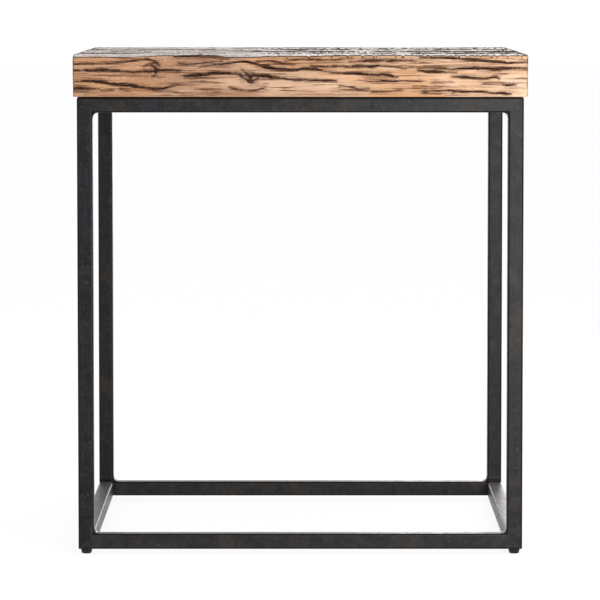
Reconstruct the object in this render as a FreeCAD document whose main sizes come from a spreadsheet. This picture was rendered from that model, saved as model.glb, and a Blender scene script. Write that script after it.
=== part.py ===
import FreeCAD, Part
import math
import os

import Sketcher

# A side table: a slab of four reclaimed boards on a welded frame of square steel tube.
# The front and rear of the frame are mitred rectangles, joined by four side rails.
# Origin on the floor under the middle of the table, +Z up, the front faces -Y, millimetres.

SIZES = {
    # Whole table
    "table_height": 610.0,
    "top_width": 552.0,
    "top_depth": 552.0,
    "top_thickness": 52.0,
    "top_overhang": 5.0,
    # Boards, and the loose tongues glued into stopped grooves along their seams
    "arris_radius": 2.5,
    "seam_chamfer": 0.8,
    "check_width": 5.0,
    "check_depth": 3.2,
    "tongue_thickness": 8.0,
    "tongue_width": 30.0,
    "tongue_fit": 0.1,
    "groove_stop": 25.0,
    "groove_end_room": 1.0,
    # Square tube of the frame
    "tube_size": 19.05,
    "tube_wall": 1.5,
    "tube_corner_radius": 2.5,
    "top_corner_round": 3.0,
    "bottom_corner_round": 1.5,
    # Weld beads in the inner corners
    "weld_leg": 6.3,
    "weld_toe": 0.3,
    # Hexagon-head wood screws up through the front and rear top rails, heads inside the tube
    "screw_row_length": 350.0,
    "screw_diameter": 5.0,
    "screw_grip": 30.0,
    "screw_head_width": 8.0,
    "screw_head_height": 3.5,
    "screw_thread_fit": 0.1,
    "screw_hole_clearance": 0.5,
    "screw_access_diameter": 11.0,
    "pilot_end_room": 1.0,
    # Levelling feet, their studs and the nuts inside the tube
    "foot_height": 5.7,
    "foot_gap": 0.3,
    "foot_rim_diameter": 14.0,
    "foot_base_diameter": 12.0,
    "foot_edge_bevel": 0.8,
    "flute_count": 18,
    "flute_depth": 0.5,
    "stud_diameter": 6.0,
    "stud_length": 20.0,
    "stud_seat_depth": 4.0,
    "stud_seat_fit": 0.05,
    "stud_end_room": 0.1,
    "stud_thread_fit": 0.1,
    "stud_hole_clearance": 0.3,
    "nut_width": 10.0,
    "nut_thickness": 5.0,
    # How far a cutting outline runs past the material
    "cut_overrun": 1.0,
}

BOARDS = ("board_front", "board_front_middle", "board_rear_middle", "board_rear")

# Main drying checks of the tops, closer together towards the right: start and end along the
# table as shares of its width, and place across the board as a share of the board's width
TOP_CHECKS = {
    "board_front": (
        (-0.05, 0.42, -0.42),
        (-0.30, 0.52, -0.26),
        (-0.02, 0.52, -0.09),
        (-0.52, 0.38, 0.07),
        (0.02, 0.52, 0.23),
        (-0.12, 0.45, 0.38),
    ),
    "board_front_middle": (
        (-0.45, 0.36, -0.40),
        (-0.08, 0.52, -0.23),
        (-0.16, 0.48, -0.07),
        (-0.04, 0.52, 0.10),
        (-0.52, 0.38, 0.26),
        (-0.06, 0.52, 0.41),
    ),
    "board_rear_middle": (
        (-0.06, 0.52, -0.39),
        (-0.20, 0.44, -0.22),
        (-0.02, 0.52, -0.06),
        (-0.52, 0.40, 0.11),
        (0.0, 0.52, 0.27),
        (-0.25, 0.46, 0.42),
    ),
    "board_rear": (
        (-0.52, 0.36, -0.41),
        (-0.10, 0.52, -0.24),
        (-0.22, 0.46, -0.08),
        (-0.06, 0.52, 0.08),
        (-0.44, 0.40, 0.25),
        (-0.08, 0.52, 0.39),
    ),
}

# Main drying checks of the table's front and rear faces: start and end as above,
# and height over the middle of the board as a share of its thickness
FACE_CHECKS = (
    (-0.52, -0.30, 0.16),
    (-0.52, -0.26, -0.20),
    (-0.25, 0.08, -0.02),
    (-0.14, 0.12, 0.24),
    (0.15, 0.52, 0.20),
    (0.28, 0.46, -0.34),
)

# Where the round of a mitred corner meets the mitre, as a share of its radius
MITRE_ROUND_SHARE = 1 - math.sqrt(0.5)

LEFT, RIGHT = -1, 1
FRONT, REAR = -1, 1
UP, DOWN = 1, -1
CORNERS = {
    "front_left": (LEFT, FRONT),
    "front_right": (RIGHT, FRONT),
    "rear_left": (LEFT, REAR),
    "rear_right": (RIGHT, REAR),
}


class Size:
    """A size that carries its number and the cell formula that it comes from."""

    def __init__(self, value, formula):
        self.value = value
        self.formula = formula

    def __add__(self, other):
        other = as_size(other)
        return Size(self.value + other.value, f"({self.formula} + {other.formula})")

    def __sub__(self, other):
        other = as_size(other)
        return Size(self.value - other.value, f"({self.formula} - {other.formula})")

    def __mul__(self, other):
        other = as_size(other)
        return Size(self.value * other.value, f"({self.formula} * {other.formula})")

    def __truediv__(self, other):
        other = as_size(other)
        return Size(self.value / other.value, f"({self.formula} / {other.formula})")

    def __rmul__(self, number):
        return as_size(number) * self

    def __neg__(self):
        return as_size(-1) * self


def as_size(number):
    return number if isinstance(number, Size) else Size(number, f"({number})")


class Sheet:
    """The spreadsheet's cells, read as sizes by their aliases."""

    def __init__(self, doc, sizes):
        self.cells = doc.addObject("Spreadsheet::Sheet", "Sizes")
        for row, (alias, number) in enumerate(sizes.items(), start=1):
            self.cells.set(f"A{row}", alias)
            self.cells.set(f"B{row}", str(number))
            self.cells.setAlias(f"B{row}", alias)
        doc.recompute()

    def __getattr__(self, alias):
        return Size(self.cells.get(alias), f"Sizes.{alias}")


doc = FreeCAD.newDocument("SideTable")
size = Sheet(doc, SIZES)

# Sizes that follow from the driving ones
board_width = size.top_depth / len(BOARDS)
frame_width = size.top_width - 2 * size.top_overhang
frame_depth = size.top_depth - 2 * size.top_overhang
frame_bottom = size.foot_height + size.foot_gap
frame_top = size.table_height - size.top_thickness
leg_length = frame_top - frame_bottom
side_rail_length = frame_depth - 2 * size.tube_size
tube_centre_x = (frame_width - size.tube_size) / 2
tube_centre_y = (frame_depth - size.tube_size) / 2
inner_corner_x = frame_width / 2 - size.tube_size
inner_corner_y = frame_depth / 2 - size.tube_size
tube_inside = size.tube_size - 2 * size.tube_wall
tube_flat = size.tube_size - 2 * size.tube_corner_radius
stud_bottom = size.foot_height - size.stud_seat_depth
groove_length = size.top_width - 2 * size.groove_stop

foot_taper = (size.foot_rim_diameter - size.foot_base_diameter) / 2

# Places of the screws along the front and rear rails
screw_places = (-size.screw_row_length / 2, size.screw_row_length / 2)


def bind(thing, path, value):
    """Ties a property of a document object to the cells."""
    thing.setExpression(path, value.formula)


def new_body(label):
    body = doc.addObject("PartDesign::Body", label)
    body.Label = label
    body.AllowCompound = True
    return body


def place(body, x, y, z, yaw=0, pitch=0, roll=0):
    body.Placement = FreeCAD.Placement(
        FreeCAD.Vector(), FreeCAD.Rotation(yaw, pitch, roll)
    )
    bind(body, "Placement.Base.x", as_size(x))
    bind(body, "Placement.Base.y", as_size(y))
    bind(body, "Placement.Base.z", as_size(z))


def origin_part(body, role):
    return next(part for part in body.Origin.OriginFeatures if part.Role == role)


def sketch_on(body, role, name, offset=0):
    """A sketch on one of the body's origin planes, moved along the plane's normal."""
    sketch = body.newObject("Sketcher::SketchObject", name)
    sketch.AttachmentSupport = [(origin_part(body, role), "")]
    sketch.MapMode = "FlatFace"
    bind(sketch, "AttachmentOffset.Base.z", as_size(offset))
    return sketch


def fix_point(sketch, item, point, x, y):
    """Holds a point of a sketch at its distances from the sketch's origin."""
    for direction, distance in (("DistanceX", as_size(x)), ("DistanceY", as_size(y))):
        index = sketch.addConstraint(
            Sketcher.Constraint(direction, item, point, distance.value)
        )
        bind(sketch, f"Constraints[{index}]", distance)


def angle_of(vector):
    return math.atan2(vector.y, vector.x)


def draw_outline(sketch, corners, arcs=()):
    """A closed outline through the corners.

    Each arc is (side, centre x, centre y, radius): the side that starts at that corner.
    """
    arcs = {side: (as_size(x), as_size(y), radius) for side, x, y, radius in arcs}
    corners = [(as_size(x), as_size(y)) for x, y in corners]
    points = [FreeCAD.Vector(x.value, y.value, 0) for x, y in corners]
    upward = FreeCAD.Vector(0, 0, 1)
    sides = []
    for side, start in enumerate(points):
        end = points[(side + 1) % len(points)]
        if side not in arcs:
            item = sketch.addGeometry(Part.LineSegment(start, end), False)
            sides.append((item, 1, 2))
            continue
        x, y, radius = arcs[side]
        centre = FreeCAD.Vector(x.value, y.value, 0)
        first, last = start - centre, end - centre
        turns_left = first.cross(last).z > 0
        if not turns_left:
            first, last = last, first
        circle = Part.Circle(centre, upward, radius.value)
        arc = Part.ArcOfCircle(circle, angle_of(first), angle_of(last))
        item = sketch.addGeometry(arc, False)
        sides.append((item, 1, 2) if turns_left else (item, 2, 1))
        index = sketch.addConstraint(Sketcher.Constraint("Radius", item, radius.value))
        bind(sketch, f"Constraints[{index}]", radius)
    for side, (item, start_point, end_point) in enumerate(sides):
        following, following_start, _ = sides[(side + 1) % len(sides)]
        sketch.addConstraint(
            Sketcher.Constraint("Coincident", item, end_point, following, following_start)
        )
        fix_point(sketch, item, start_point, *corners[side])


def draw_rectangle(sketch, width, height, x=0, y=0):
    x, y = as_size(x), as_size(y)
    left, right = x - width / 2, x + width / 2
    low, high = y - height / 2, y + height / 2
    draw_outline(sketch, [(left, low), (right, low), (right, high), (left, high)])


def draw_hexagon(sketch, width, x, y):
    """A hexagon of that width across its flats, with corners to the left and right."""
    flat = width / 2
    corner = width / math.sqrt(3)
    corners = [
        (x - corner / 2, y - flat),
        (x + corner / 2, y - flat),
        (x + corner, y),
        (x + corner / 2, y + flat),
        (x - corner / 2, y + flat),
        (x - corner, y),
    ]
    draw_outline(sketch, corners)


def draw_rounded_square(sketch, width, radius):
    half = width / 2
    flat = half - radius
    corners = [
        (-flat, -half),
        (flat, -half),
        (half, -flat),
        (half, flat),
        (flat, half),
        (-flat, half),
        (-half, flat),
        (-half, -flat),
    ]
    arcs = [
        (1, flat, -flat, radius),
        (3, flat, flat, radius),
        (5, -flat, flat, radius),
        (7, -flat, -flat, radius),
    ]
    draw_outline(sketch, corners, arcs)


def draw_circle(sketch, x, y, diameter):
    x, y = as_size(x), as_size(y)
    centre = FreeCAD.Vector(x.value, y.value, 0)
    circle = Part.Circle(centre, FreeCAD.Vector(0, 0, 1), diameter.value / 2)
    item = sketch.addGeometry(circle, False)
    index = sketch.addConstraint(Sketcher.Constraint("Diameter", item, diameter.value))
    bind(sketch, f"Constraints[{index}]", diameter)
    fix_point(sketch, item, 3, x, y)


def pad(body, sketch, length, side_type="One side", downwards=False):
    feature = body.newObject("PartDesign::Pad", f"{sketch.Name}Pad")
    feature.Profile = sketch
    feature.SideType = side_type
    feature.Reversed = downwards
    bind(feature, "Length", length)
    doc.recompute()
    return feature


def volume_before(body):
    doc.recompute()
    return body.Shape.Volume


def confirm_cut(body, before, what):
    doc.recompute()
    if not body.Shape.Volume < before:
        raise RuntimeError(f"{body.Label}: {what} removed nothing")


def cut(body, sketch, depth=None, side_type="Symmetric"):
    """Pockets a sketch to half the depth on each side of its plane, or right through."""
    before = volume_before(body)
    feature = body.newObject("PartDesign::Pocket", f"{sketch.Name}Pocket")
    feature.Profile = sketch
    feature.SideType = side_type
    if depth is None:
        feature.Type = "ThroughAll"
    else:
        bind(feature, "Length", depth)
    confirm_cut(body, before, sketch.Name)
    return feature


def repeat(body, steps_x=None, steps_y=None):
    """Repeats the whole body in rows: each direction is given as (count, step)."""
    rows = [("X_Axis", steps_x), ("Y_Axis", steps_y)]
    rows = [(role, steps) for role, steps in rows if steps]
    pattern = body.newObject("PartDesign::LinearPattern", "Rows")
    pattern.TransformMode = "Whole shape"
    for suffix, (role, (count, step)) in zip(("", "2"), rows):
        setattr(pattern, f"Direction{suffix}", (origin_part(body, role), [""]))
        setattr(pattern, f"Occurrences{suffix}", count)
        bind(pattern, f"Length{suffix}", (count - 1) * step)
    body.Tip = pattern
    doc.recompute()


def lies_at(edge, axis, place):
    """Whether an edge lies in the plane at that place along the X, Y or Z axis."""
    spread = [abs(getattr(vertex, axis) - place) for vertex in edge.Vertexes]
    return max(spread) < 10 * Part.Precision.confusion()


def edge_names(shape, wanted):
    return [f"Edge{n}" for n, edge in enumerate(shape.Edges, start=1) if wanted(edge)]


def face_names(shape, wanted):
    return [f"Face{n}" for n, face in enumerate(shape.Faces, start=1) if wanted(face)]


def rise_of(face):
    """How far a flat face looks upwards: 1 from the top, 0 from a side, -1 from below."""
    return face.normalAt(0, 0).z


def cut_check(body, name, start, end, y, z, inward_y, inward_z):
    """A V-shaped check along X, with its mouth centred at a place on a face of the board."""
    offset = size.top_width * ((start + end) / 2)
    sketch = sketch_on(body, "YZ_Plane", name, offset)
    half_y = inward_z * size.check_width / 2
    half_z = inward_y * size.check_width / 2
    root = (y + inward_y * size.check_depth, z + inward_z * size.check_depth)
    draw_outline(sketch, [(y - half_y, z - half_z), (y + half_y, z + half_z), root])
    cut(body, sketch, size.top_width * (end - start))


def cut_checks(body, number, label, seams):
    half_width = board_width / 2
    half_thickness = size.top_thickness / 2
    for line, (start, end, across) in enumerate(TOP_CHECKS[label]):
        name = f"TopCheck{number}Line{line}"
        cut_check(body, name, start, end, board_width * across, half_thickness, 0, DOWN)
    if len(seams) == 1:
        outside = FRONT if number == 0 else REAR
        for line, (start, end, rise) in enumerate(FACE_CHECKS):
            name = f"FaceCheck{number}Line{line}"
            height = size.top_thickness * rise
            cut_check(body, name, start, end, outside * half_width, height, -outside, 0)


def make_board(number, label):
    """A board along X, rounded on the table's outside and chamfered along its seams."""
    body = new_body(label)
    half_width = board_width / 2
    half_thickness = size.top_thickness / 2
    section = sketch_on(body, "YZ_Plane", f"Section{number}")
    draw_rectangle(section, board_width, size.top_thickness)
    plank = pad(body, section, size.top_width, "Symmetric")

    # Seam sides: every side but the front of the first board and the rear of the last
    seams = []
    if number > 0:
        seams.append(-half_width)
    if number < len(BOARDS) - 1:
        seams.append(half_width)

    rounding = body.newObject("PartDesign::Fillet", f"Arris{number}")
    outer_edges = edge_names(
        plank.Shape, lambda edge: not any(lies_at(edge, "Y", seam.value) for seam in seams)
    )
    rounding.Base = (plank, outer_edges)
    bind(rounding, "Radius", size.arris_radius)
    doc.recompute()

    chamfer = body.newObject("PartDesign::Chamfer", f"SeamChamfer{number}")
    seam_edges = edge_names(
        rounding.Shape, lambda edge: any(lies_at(edge, "Y", seam.value) for seam in seams)
    )
    chamfer.Base = (rounding, seam_edges)
    bind(chamfer, "Size", size.seam_chamfer)
    doc.recompute()

    # Grooves for the tongues, from each seam; the normal of the XZ plane points to -Y
    groove_height = size.tongue_thickness + 2 * size.tongue_fit
    for side, seam in enumerate(seams):
        groove = sketch_on(body, "XZ_Plane", f"Groove{number}Seam{side}", -seam)
        draw_rectangle(groove, groove_length, groove_height)
        cut(body, groove, size.tongue_width + 2 * size.groove_end_room)

    # Pilot holes from below in the two outer boards, which lie over the long rails
    board_y = half_width * (2 * number + 1 - len(BOARDS))
    if len(seams) == 1:
        rail_y = -tube_centre_y if number == 0 else tube_centre_y
        pilots = sketch_on(body, "XY_Plane", f"PilotHoles{number}", -half_thickness)
        pilot_diameter = size.screw_diameter + 2 * size.screw_thread_fit
        for x in screw_places:
            draw_circle(pilots, x, rail_y - board_y, pilot_diameter)
        cut(body, pilots, 2 * (size.screw_grip + size.pilot_end_room))

    cut_checks(body, number, label, seams)
    place(body, 0, board_y, frame_top + half_thickness)
    return body


def make_tongues():
    """Flat strips, one to a seam, shorter than their grooves by the end room."""
    body = new_body("board_tongues")
    first_seam = -(len(BOARDS) - 2) * board_width / 2
    section = sketch_on(body, "YZ_Plane", "TongueSection")
    draw_rectangle(section, size.tongue_width, size.tongue_thickness, first_seam)
    pad(body, section, groove_length - 2 * size.groove_end_room, "Symmetric")
    repeat(body, steps_y=(len(BOARDS) - 1, board_width))
    place(body, 0, 0, frame_top + size.top_thickness / 2)
    return body


def make_tube(label, length):
    """Square tube along X, centred on its own axis."""
    body = new_body(label)
    section = sketch_on(body, "YZ_Plane", "TubeSection")
    draw_rounded_square(section, size.tube_size, size.tube_corner_radius)
    draw_rectangle(section, tube_inside, tube_inside)
    pad(body, section, length, "Symmetric")
    return body


def mitre_end(body, length, end, corner_round):
    """Cuts one end at 45 degrees, longest on the outer side (-Z), and rounds its tip."""
    half = size.tube_size / 2
    over = size.cut_overrun
    tip = length / 2
    near_tip = MITRE_ROUND_SHARE * corner_round
    outline = [
        (end * (tip - corner_round), -half),
        (end * (tip - near_tip), near_tip - half),
        (end * (tip - size.tube_size - over), half + over),
        (end * (tip + over), half + over),
        (end * (tip + over), -half - over),
        (end * (tip - corner_round), -half - over),
    ]
    arc = (0, end * (tip - corner_round), corner_round - half, corner_round)
    sketch = sketch_on(body, "XZ_Plane", "MitreLeft" if end < 0 else "MitreRight")
    draw_outline(sketch, outline, [arc])
    cut(body, sketch)


def make_leg(corner):
    """A leg, mitred to the rails above and below; its local +X end points down."""
    side, depth = CORNERS[corner]
    body = make_tube(f"leg_{corner}", leg_length)
    mitre_end(body, leg_length, RIGHT, size.bottom_corner_round)
    mitre_end(body, leg_length, LEFT, size.top_corner_round)
    yaw = 0 if side == LEFT else 180
    height = frame_bottom + leg_length / 2
    place(body, side * tube_centre_x, depth * tube_centre_y, height, yaw, 90)
    return body


def make_long_rail(level, where, depth):
    """A rail across the front or rear, mitred at both ends."""
    body = make_tube(f"{level}_rail_{where}", frame_width)
    corner_round = size.top_corner_round if level == "top" else size.bottom_corner_round
    for end in (LEFT, RIGHT):
        mitre_end(body, frame_width, end, corner_round)
    if level == "top":
        # It is turned over, so its local +Z wall is the lower one, with the wide holes that
        # the screw heads go in by
        access = sketch_on(body, "XY_Plane", "AccessHoles", size.tube_size / 2)
        holes = sketch_on(body, "XY_Plane", "ScrewHoles")
        hole = size.screw_diameter + 2 * size.screw_hole_clearance
        for x in screw_places:
            draw_circle(access, x, 0, size.screw_access_diameter)
            draw_circle(holes, x, 0, hole)
        cut(body, access, size.tube_size / 2, "One side")
        cut(body, holes, side_type="One side")
        place(body, 0, depth * tube_centre_y, frame_top - size.tube_size / 2, 0, 0, 180)
        return body
    # Holes in the lower wall for the studs of the feet
    holes = sketch_on(body, "XY_Plane", "StudHoles")
    hole = size.stud_diameter + 2 * size.stud_hole_clearance
    for side in (LEFT, RIGHT):
        draw_circle(holes, side * tube_centre_x, 0, hole)
    cut(body, holes, side_type="One side")
    place(body, 0, depth * tube_centre_y, frame_bottom + size.tube_size / 2)
    return body


def make_side_rail(level, where, side):
    """A rail from the front frame to the rear one, cut square."""
    body = make_tube(f"{level}_rail_{where}", side_rail_length)
    if level == "top":
        height = frame_top - size.tube_size / 2
    else:
        height = frame_bottom + size.tube_size / 2
    place(body, side * tube_centre_x, 0, height, 90)
    return body


def draw_bead(sketch, corner, away):
    """Section of a concave bead: two legs from the corner, toes, and a hollow arc."""
    leg, toe = size.weld_leg, size.weld_toe
    radius = leg - toe
    outline = [
        (corner, 0),
        (corner - leg, 0),
        (corner - leg, away * toe),
        (corner - toe, away * leg),
        (corner, away * leg),
    ]
    draw_outline(sketch, outline, [(2, corner - leg, away * leg, radius)])


def make_corner_welds(label, height, away):
    """Beads between legs and rails, in the planes of the front, rear and sides."""
    body = new_body(label)
    # The normal of the XZ plane points to -Y, so this sketch lies in the rear frame
    across = sketch_on(body, "XZ_Plane", "BeadAcross", -tube_centre_y)
    draw_bead(across, inner_corner_x, away)
    pad(body, across, tube_flat, "Symmetric")
    along = sketch_on(body, "YZ_Plane", "BeadAlong", tube_centre_x)
    draw_bead(along, inner_corner_y, away)
    pad(body, along, tube_flat, "Symmetric")
    for role, name in (("YZ_Plane", "OtherSide"), ("XZ_Plane", "OtherFrame")):
        mirrored = body.newObject("PartDesign::Mirrored", name)
        mirrored.TransformMode = "Whole shape"
        mirrored.MirrorPlane = (origin_part(body, role), [""])
        body.Tip = mirrored
        doc.recompute()
    place(body, 0, 0, height)
    return body


def make_screws():
    """Screws point up, each head under the upper wall of its rail, which is local Z 0."""
    body = new_body("top_screws")
    first_x = screw_places[0]
    head = sketch_on(body, "XY_Plane", "Head")
    draw_hexagon(head, size.screw_head_width, first_x, -tube_centre_y)
    pad(body, head, size.screw_head_height, downwards=True)
    shank = sketch_on(body, "XY_Plane", "Shank")
    draw_circle(shank, first_x, -tube_centre_y, size.screw_diameter)
    pad(body, shank, size.tube_wall + size.screw_grip)
    repeat(body, (len(screw_places), size.screw_row_length), (2, 2 * tube_centre_y))
    place(body, 0, 0, frame_top - size.tube_wall)
    return body


def make_nuts():
    """Hexagonal nuts welded inside the bottom rails, over the stud holes."""
    body = new_body("foot_weld_nuts")
    section = sketch_on(body, "XY_Plane", "NutSection")
    draw_hexagon(section, size.nut_width, -tube_centre_x, -tube_centre_y)
    bore = size.stud_diameter + 2 * size.stud_thread_fit
    draw_circle(section, -tube_centre_x, -tube_centre_y, bore)
    pad(body, section, size.nut_thickness)
    repeat(body, (2, 2 * tube_centre_x), (2, 2 * tube_centre_y))
    place(body, 0, 0, frame_bottom + size.tube_wall)
    return body


def make_stud(corner):
    """A stud that stands in the socket of its foot and reaches up through its nut."""
    side, depth = CORNERS[corner]
    body = new_body(f"foot_stud_{corner}")
    section = sketch_on(body, "XY_Plane", "StudSection")
    draw_circle(section, 0, 0, size.stud_diameter)
    pad(body, section, size.stud_length)
    place(body, side * tube_centre_x, depth * tube_centre_y, stud_bottom)
    return body


def draw_fluted_circle(sketch, diameter):
    """Ridges at the full diameter and flutes between them, by turns."""
    radii = (diameter / 2, diameter / 2 - size.flute_depth)
    count = 2 * int(size.flute_count.value)
    corners = []
    for step in range(count):
        angle = 2 * math.pi * step / count
        radius = radii[step % 2]
        corners.append((radius * math.cos(angle), radius * math.sin(angle)))
    draw_outline(sketch, corners)


def make_foot(corner):
    """A fluted foot that leans in to a bevelled base, with a socket for its stud."""
    side, depth = CORNERS[corner]
    body = new_body(f"foot_base_{corner}")
    rim = sketch_on(body, "XY_Plane", "FootRim", size.foot_height)
    draw_fluted_circle(rim, size.foot_rim_diameter)
    block = pad(body, rim, size.foot_height, downwards=True)

    taper = body.newObject("PartDesign::Draft", "FootTaper")
    taper.Base = (block, face_names(block.Shape, lambda face: abs(rise_of(face)) < 0.5))
    taper.NeutralPlane = (block, face_names(block.Shape, lambda face: rise_of(face) > 0.5))
    taper.Reversed = True
    lean = f"atan({foot_taper.formula} / {size.foot_height.formula})"
    taper.setExpression("Angle", lean)
    doc.recompute()

    bevel = body.newObject("PartDesign::Chamfer", "FootBevel")
    base_edges = edge_names(taper.Shape, lambda edge: lies_at(edge, "Z", 0))
    bevel.Base = (taper, base_edges)
    bind(bevel, "Size", size.foot_edge_bevel)

    socket = sketch_on(body, "XY_Plane", "Socket", size.foot_height)
    draw_circle(socket, 0, 0, size.stud_diameter + 2 * size.stud_seat_fit)
    cut(body, socket, 2 * (size.stud_seat_depth + size.stud_end_room))
    place(body, side * tube_centre_x, depth * tube_centre_y, 0)
    return body


def make_table():
    bodies = [make_board(number, label) for number, label in enumerate(BOARDS)]
    bodies.append(make_tongues())
    bodies += [make_leg(corner) for corner in CORNERS]
    for level in ("top", "bottom"):
        bodies.append(make_long_rail(level, "front", FRONT))
        bodies.append(make_long_rail(level, "rear", REAR))
        bodies.append(make_side_rail(level, "left", LEFT))
        bodies.append(make_side_rail(level, "right", RIGHT))
    under_top_rails = frame_top - size.tube_size
    over_bottom_rails = frame_bottom + size.tube_size
    bodies.append(make_corner_welds("upper_corner_welds", under_top_rails, DOWN))
    bodies.append(make_corner_welds("lower_corner_welds", over_bottom_rails, UP))
    bodies.append(make_screws())
    bodies.append(make_nuts())
    bodies += [make_stud(corner) for corner in CORNERS]
    bodies += [make_foot(corner) for corner in CORNERS]
    return bodies


def check_document(bodies):
    doc.recompute()
    for thing in doc.Objects:
        if "Invalid" in thing.State or "Error" in thing.State:
            raise RuntimeError(f"{thing.Label} failed: {thing.State}")
    for body in bodies:
        if body.Shape.isNull() or not body.Shape.isValid():
            raise RuntimeError(f"{body.Label} has no valid shape")


def write_parts(bodies):
    os.makedirs("parts", exist_ok=True)
    for body in bodies:
        body.Shape.exportStep(f"parts/{body.Label}.step")
        solids = len(body.Shape.Solids)
        print(f"{body.Label}: {solids} solid(s), {body.Shape.Volume:.0f} cubic mm")


table = make_table()
check_document(table)
write_parts(table)
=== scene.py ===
import math
import random

import bpy
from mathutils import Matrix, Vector


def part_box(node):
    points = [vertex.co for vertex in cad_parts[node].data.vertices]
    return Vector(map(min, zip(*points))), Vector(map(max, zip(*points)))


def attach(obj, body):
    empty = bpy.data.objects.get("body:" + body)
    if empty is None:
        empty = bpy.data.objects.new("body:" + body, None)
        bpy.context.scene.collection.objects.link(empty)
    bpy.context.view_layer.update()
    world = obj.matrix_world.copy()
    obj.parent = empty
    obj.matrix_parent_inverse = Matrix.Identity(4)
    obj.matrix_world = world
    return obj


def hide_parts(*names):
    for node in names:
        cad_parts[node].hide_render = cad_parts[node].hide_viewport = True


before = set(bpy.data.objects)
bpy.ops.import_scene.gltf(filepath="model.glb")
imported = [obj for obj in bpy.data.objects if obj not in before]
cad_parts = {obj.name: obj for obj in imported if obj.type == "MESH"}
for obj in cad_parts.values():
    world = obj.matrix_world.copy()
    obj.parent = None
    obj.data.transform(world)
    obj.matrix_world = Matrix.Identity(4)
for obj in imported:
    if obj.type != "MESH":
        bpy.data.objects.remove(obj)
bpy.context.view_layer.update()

# The frame's own sizes, in metres
BOARDS = ("board_front", "board_front_middle", "board_rear_middle", "board_rear")
CORNERS = ("front_left", "front_right", "rear_left", "rear_right")
TOP_LOW = Vector(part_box("board_front")[0])
TOP_HIGH = Vector(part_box("board_rear")[1])
TOP_SIZE = TOP_HIGH - TOP_LOW

# Worn edges of the boards: sides, ends and the narrow rounds along the seams
EDGE_ROUND = 0.0026
SEAM_ROUND = 0.0009

# How deep the weather has eaten into the wood
FURROW_DEPTH = 0.0004
SURFACE_WAVE = 0.0009
TOP_SWELL = 0.0016
TOP_RIDGE = 0.0009
BLOCK_STEP = 0.0019
BLOCK_WEAR = 0.0006
SHORT_CHECK_DEPTH = 0.0016
LONG_CHECK_DEPTH = 0.0024
CHECK_DEPTH_TO_WIDTH = 1.1

# Wear of the top's front arris: place along the table and depth, in millimetres
FRONT_WEAR = (
    (-276, 2.2), (-235, 2.4), (-190, 1.4), (-150, 0.3), (-116, 0.3), (-96, 1.6), (-77, 2.8),
    (-55, 2.3), (-25, 1.5), (10, 1.2), (70, 0.4), (150, 0.2), (276, 0.6),
)
FRONT_WEAR_REACH = 0.030
FRONT_WEAR_HEIGHT = 0.012
# Notches of the same arris: full up to this far in, gone by that, and how high and deep
NOTCH_FULL = 0.002
NOTCH_REACH = 0.009
NOTCH_HEIGHT = 0.003
NOTCH_DEPTH = 0.0016


def paint(red, green, blue):
    """A colour as it shows on the screen, 0 to 255, as the linear colour that a shader takes."""
    def linear(level):
        level = level / 255
        return level / 12.92 if level <= 0.04045 else ((level + 0.055) / 1.055) ** 2.4
    return (linear(red), linear(green), linear(blue), 1.0)


def add_object(name, data):
    """A new object in the scene, at the origin."""
    thing = bpy.data.objects.new(name, data)
    bpy.context.scene.collection.objects.link(thing)
    return thing


# Node trees

class Field:
    """A value in a node tree that takes part in sums, in shader and geometry trees alike."""

    def __init__(self, socket):
        self.socket = socket
        self.tree = socket.id_data

    def maths(self, operation, *others):
        vector = self.socket.type in ("VECTOR", "RGBA")
        kind = "ShaderNodeVectorMath" if vector else "ShaderNodeMath"
        node = add_node(self.tree, kind, operation=operation)
        for socket, value in zip(node.inputs, (self, *others)):
            plug(socket, value)
        return result(node)

    def __add__(self, other):
        return self.maths("ADD", other)

    def __sub__(self, other):
        return self.maths("SUBTRACT", other)

    def __rsub__(self, other):
        return (self * -1) + other

    def __mul__(self, other):
        return self.maths("MULTIPLY", other)

    def __truediv__(self, other):
        return self.maths("DIVIDE", other)

    __radd__ = __add__

    def ramp(self, low, high, start=0.0, end=1.0):
        """Start below low, end above high, and a smooth rise between them."""
        names = ("Value", "From Min", "From Max", "To Min", "To Max")
        inputs = dict(zip(names, (self, low, high, start, end)))
        kind = "ShaderNodeMapRange"
        return result(add_node(self.tree, kind, inputs, interpolation_type="SMOOTHSTEP"))

    def parts(self):
        node = add_node(self.tree, "ShaderNodeSeparateXYZ", {"Vector": self})
        return [Field(output) for output in node.outputs]


def pick(sockets, name=None):
    """The socket of that name that is in use, or the first one in use."""
    return next(socket for socket in sockets if socket.enabled and name in (None, socket.name))


def result(node, name=None):
    return Field(pick(node.outputs, name))


def plug(socket, value):
    """Links a field or a node's first output to a socket, or sets the socket's own value."""
    if isinstance(value, bpy.types.Node):
        value = result(value)
    if isinstance(value, Field):
        value.tree.links.new(value.socket, socket)
    elif isinstance(value, (int, float)) and socket.type == "VECTOR":
        socket.default_value = (value, value, value)
    else:
        socket.default_value = value


def add_node(tree, kind, inputs=None, **settings):
    node = tree.nodes.new(kind)
    for name, value in settings.items():
        setattr(node, name, value)
    for name, value in (inputs or {}).items():
        plug(pick(node.inputs, name), value)
    return node


def vector_of(*parts):
    """A vector of three values, of which one or more are fields."""
    tree = next(part.tree for part in parts if isinstance(part, Field))
    return result(add_node(tree, "ShaderNodeCombineXYZ", dict(zip("XYZ", parts))))


def noise(place, scale, detail=3.0, roughness=0.55, colour=False):
    """Soft noise from 0 to 1, with one scale or its own scale along each axis."""
    inputs = {"Vector": place * scale, "Scale": 1.0, "Detail": detail, "Roughness": roughness}
    node = add_node(place.tree, "ShaderNodeTexNoise", inputs)
    return result(node, "Color" if colour else None)


def toss(x, y):
    """A fixed random value from 0 to 1 for each pair of whole numbers."""
    inputs = {"Vector": vector_of(x, y, 0.0)}
    return result(add_node(x.tree, "ShaderNodeTexWhiteNoise", inputs, noise_dimensions="2D"))


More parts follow.
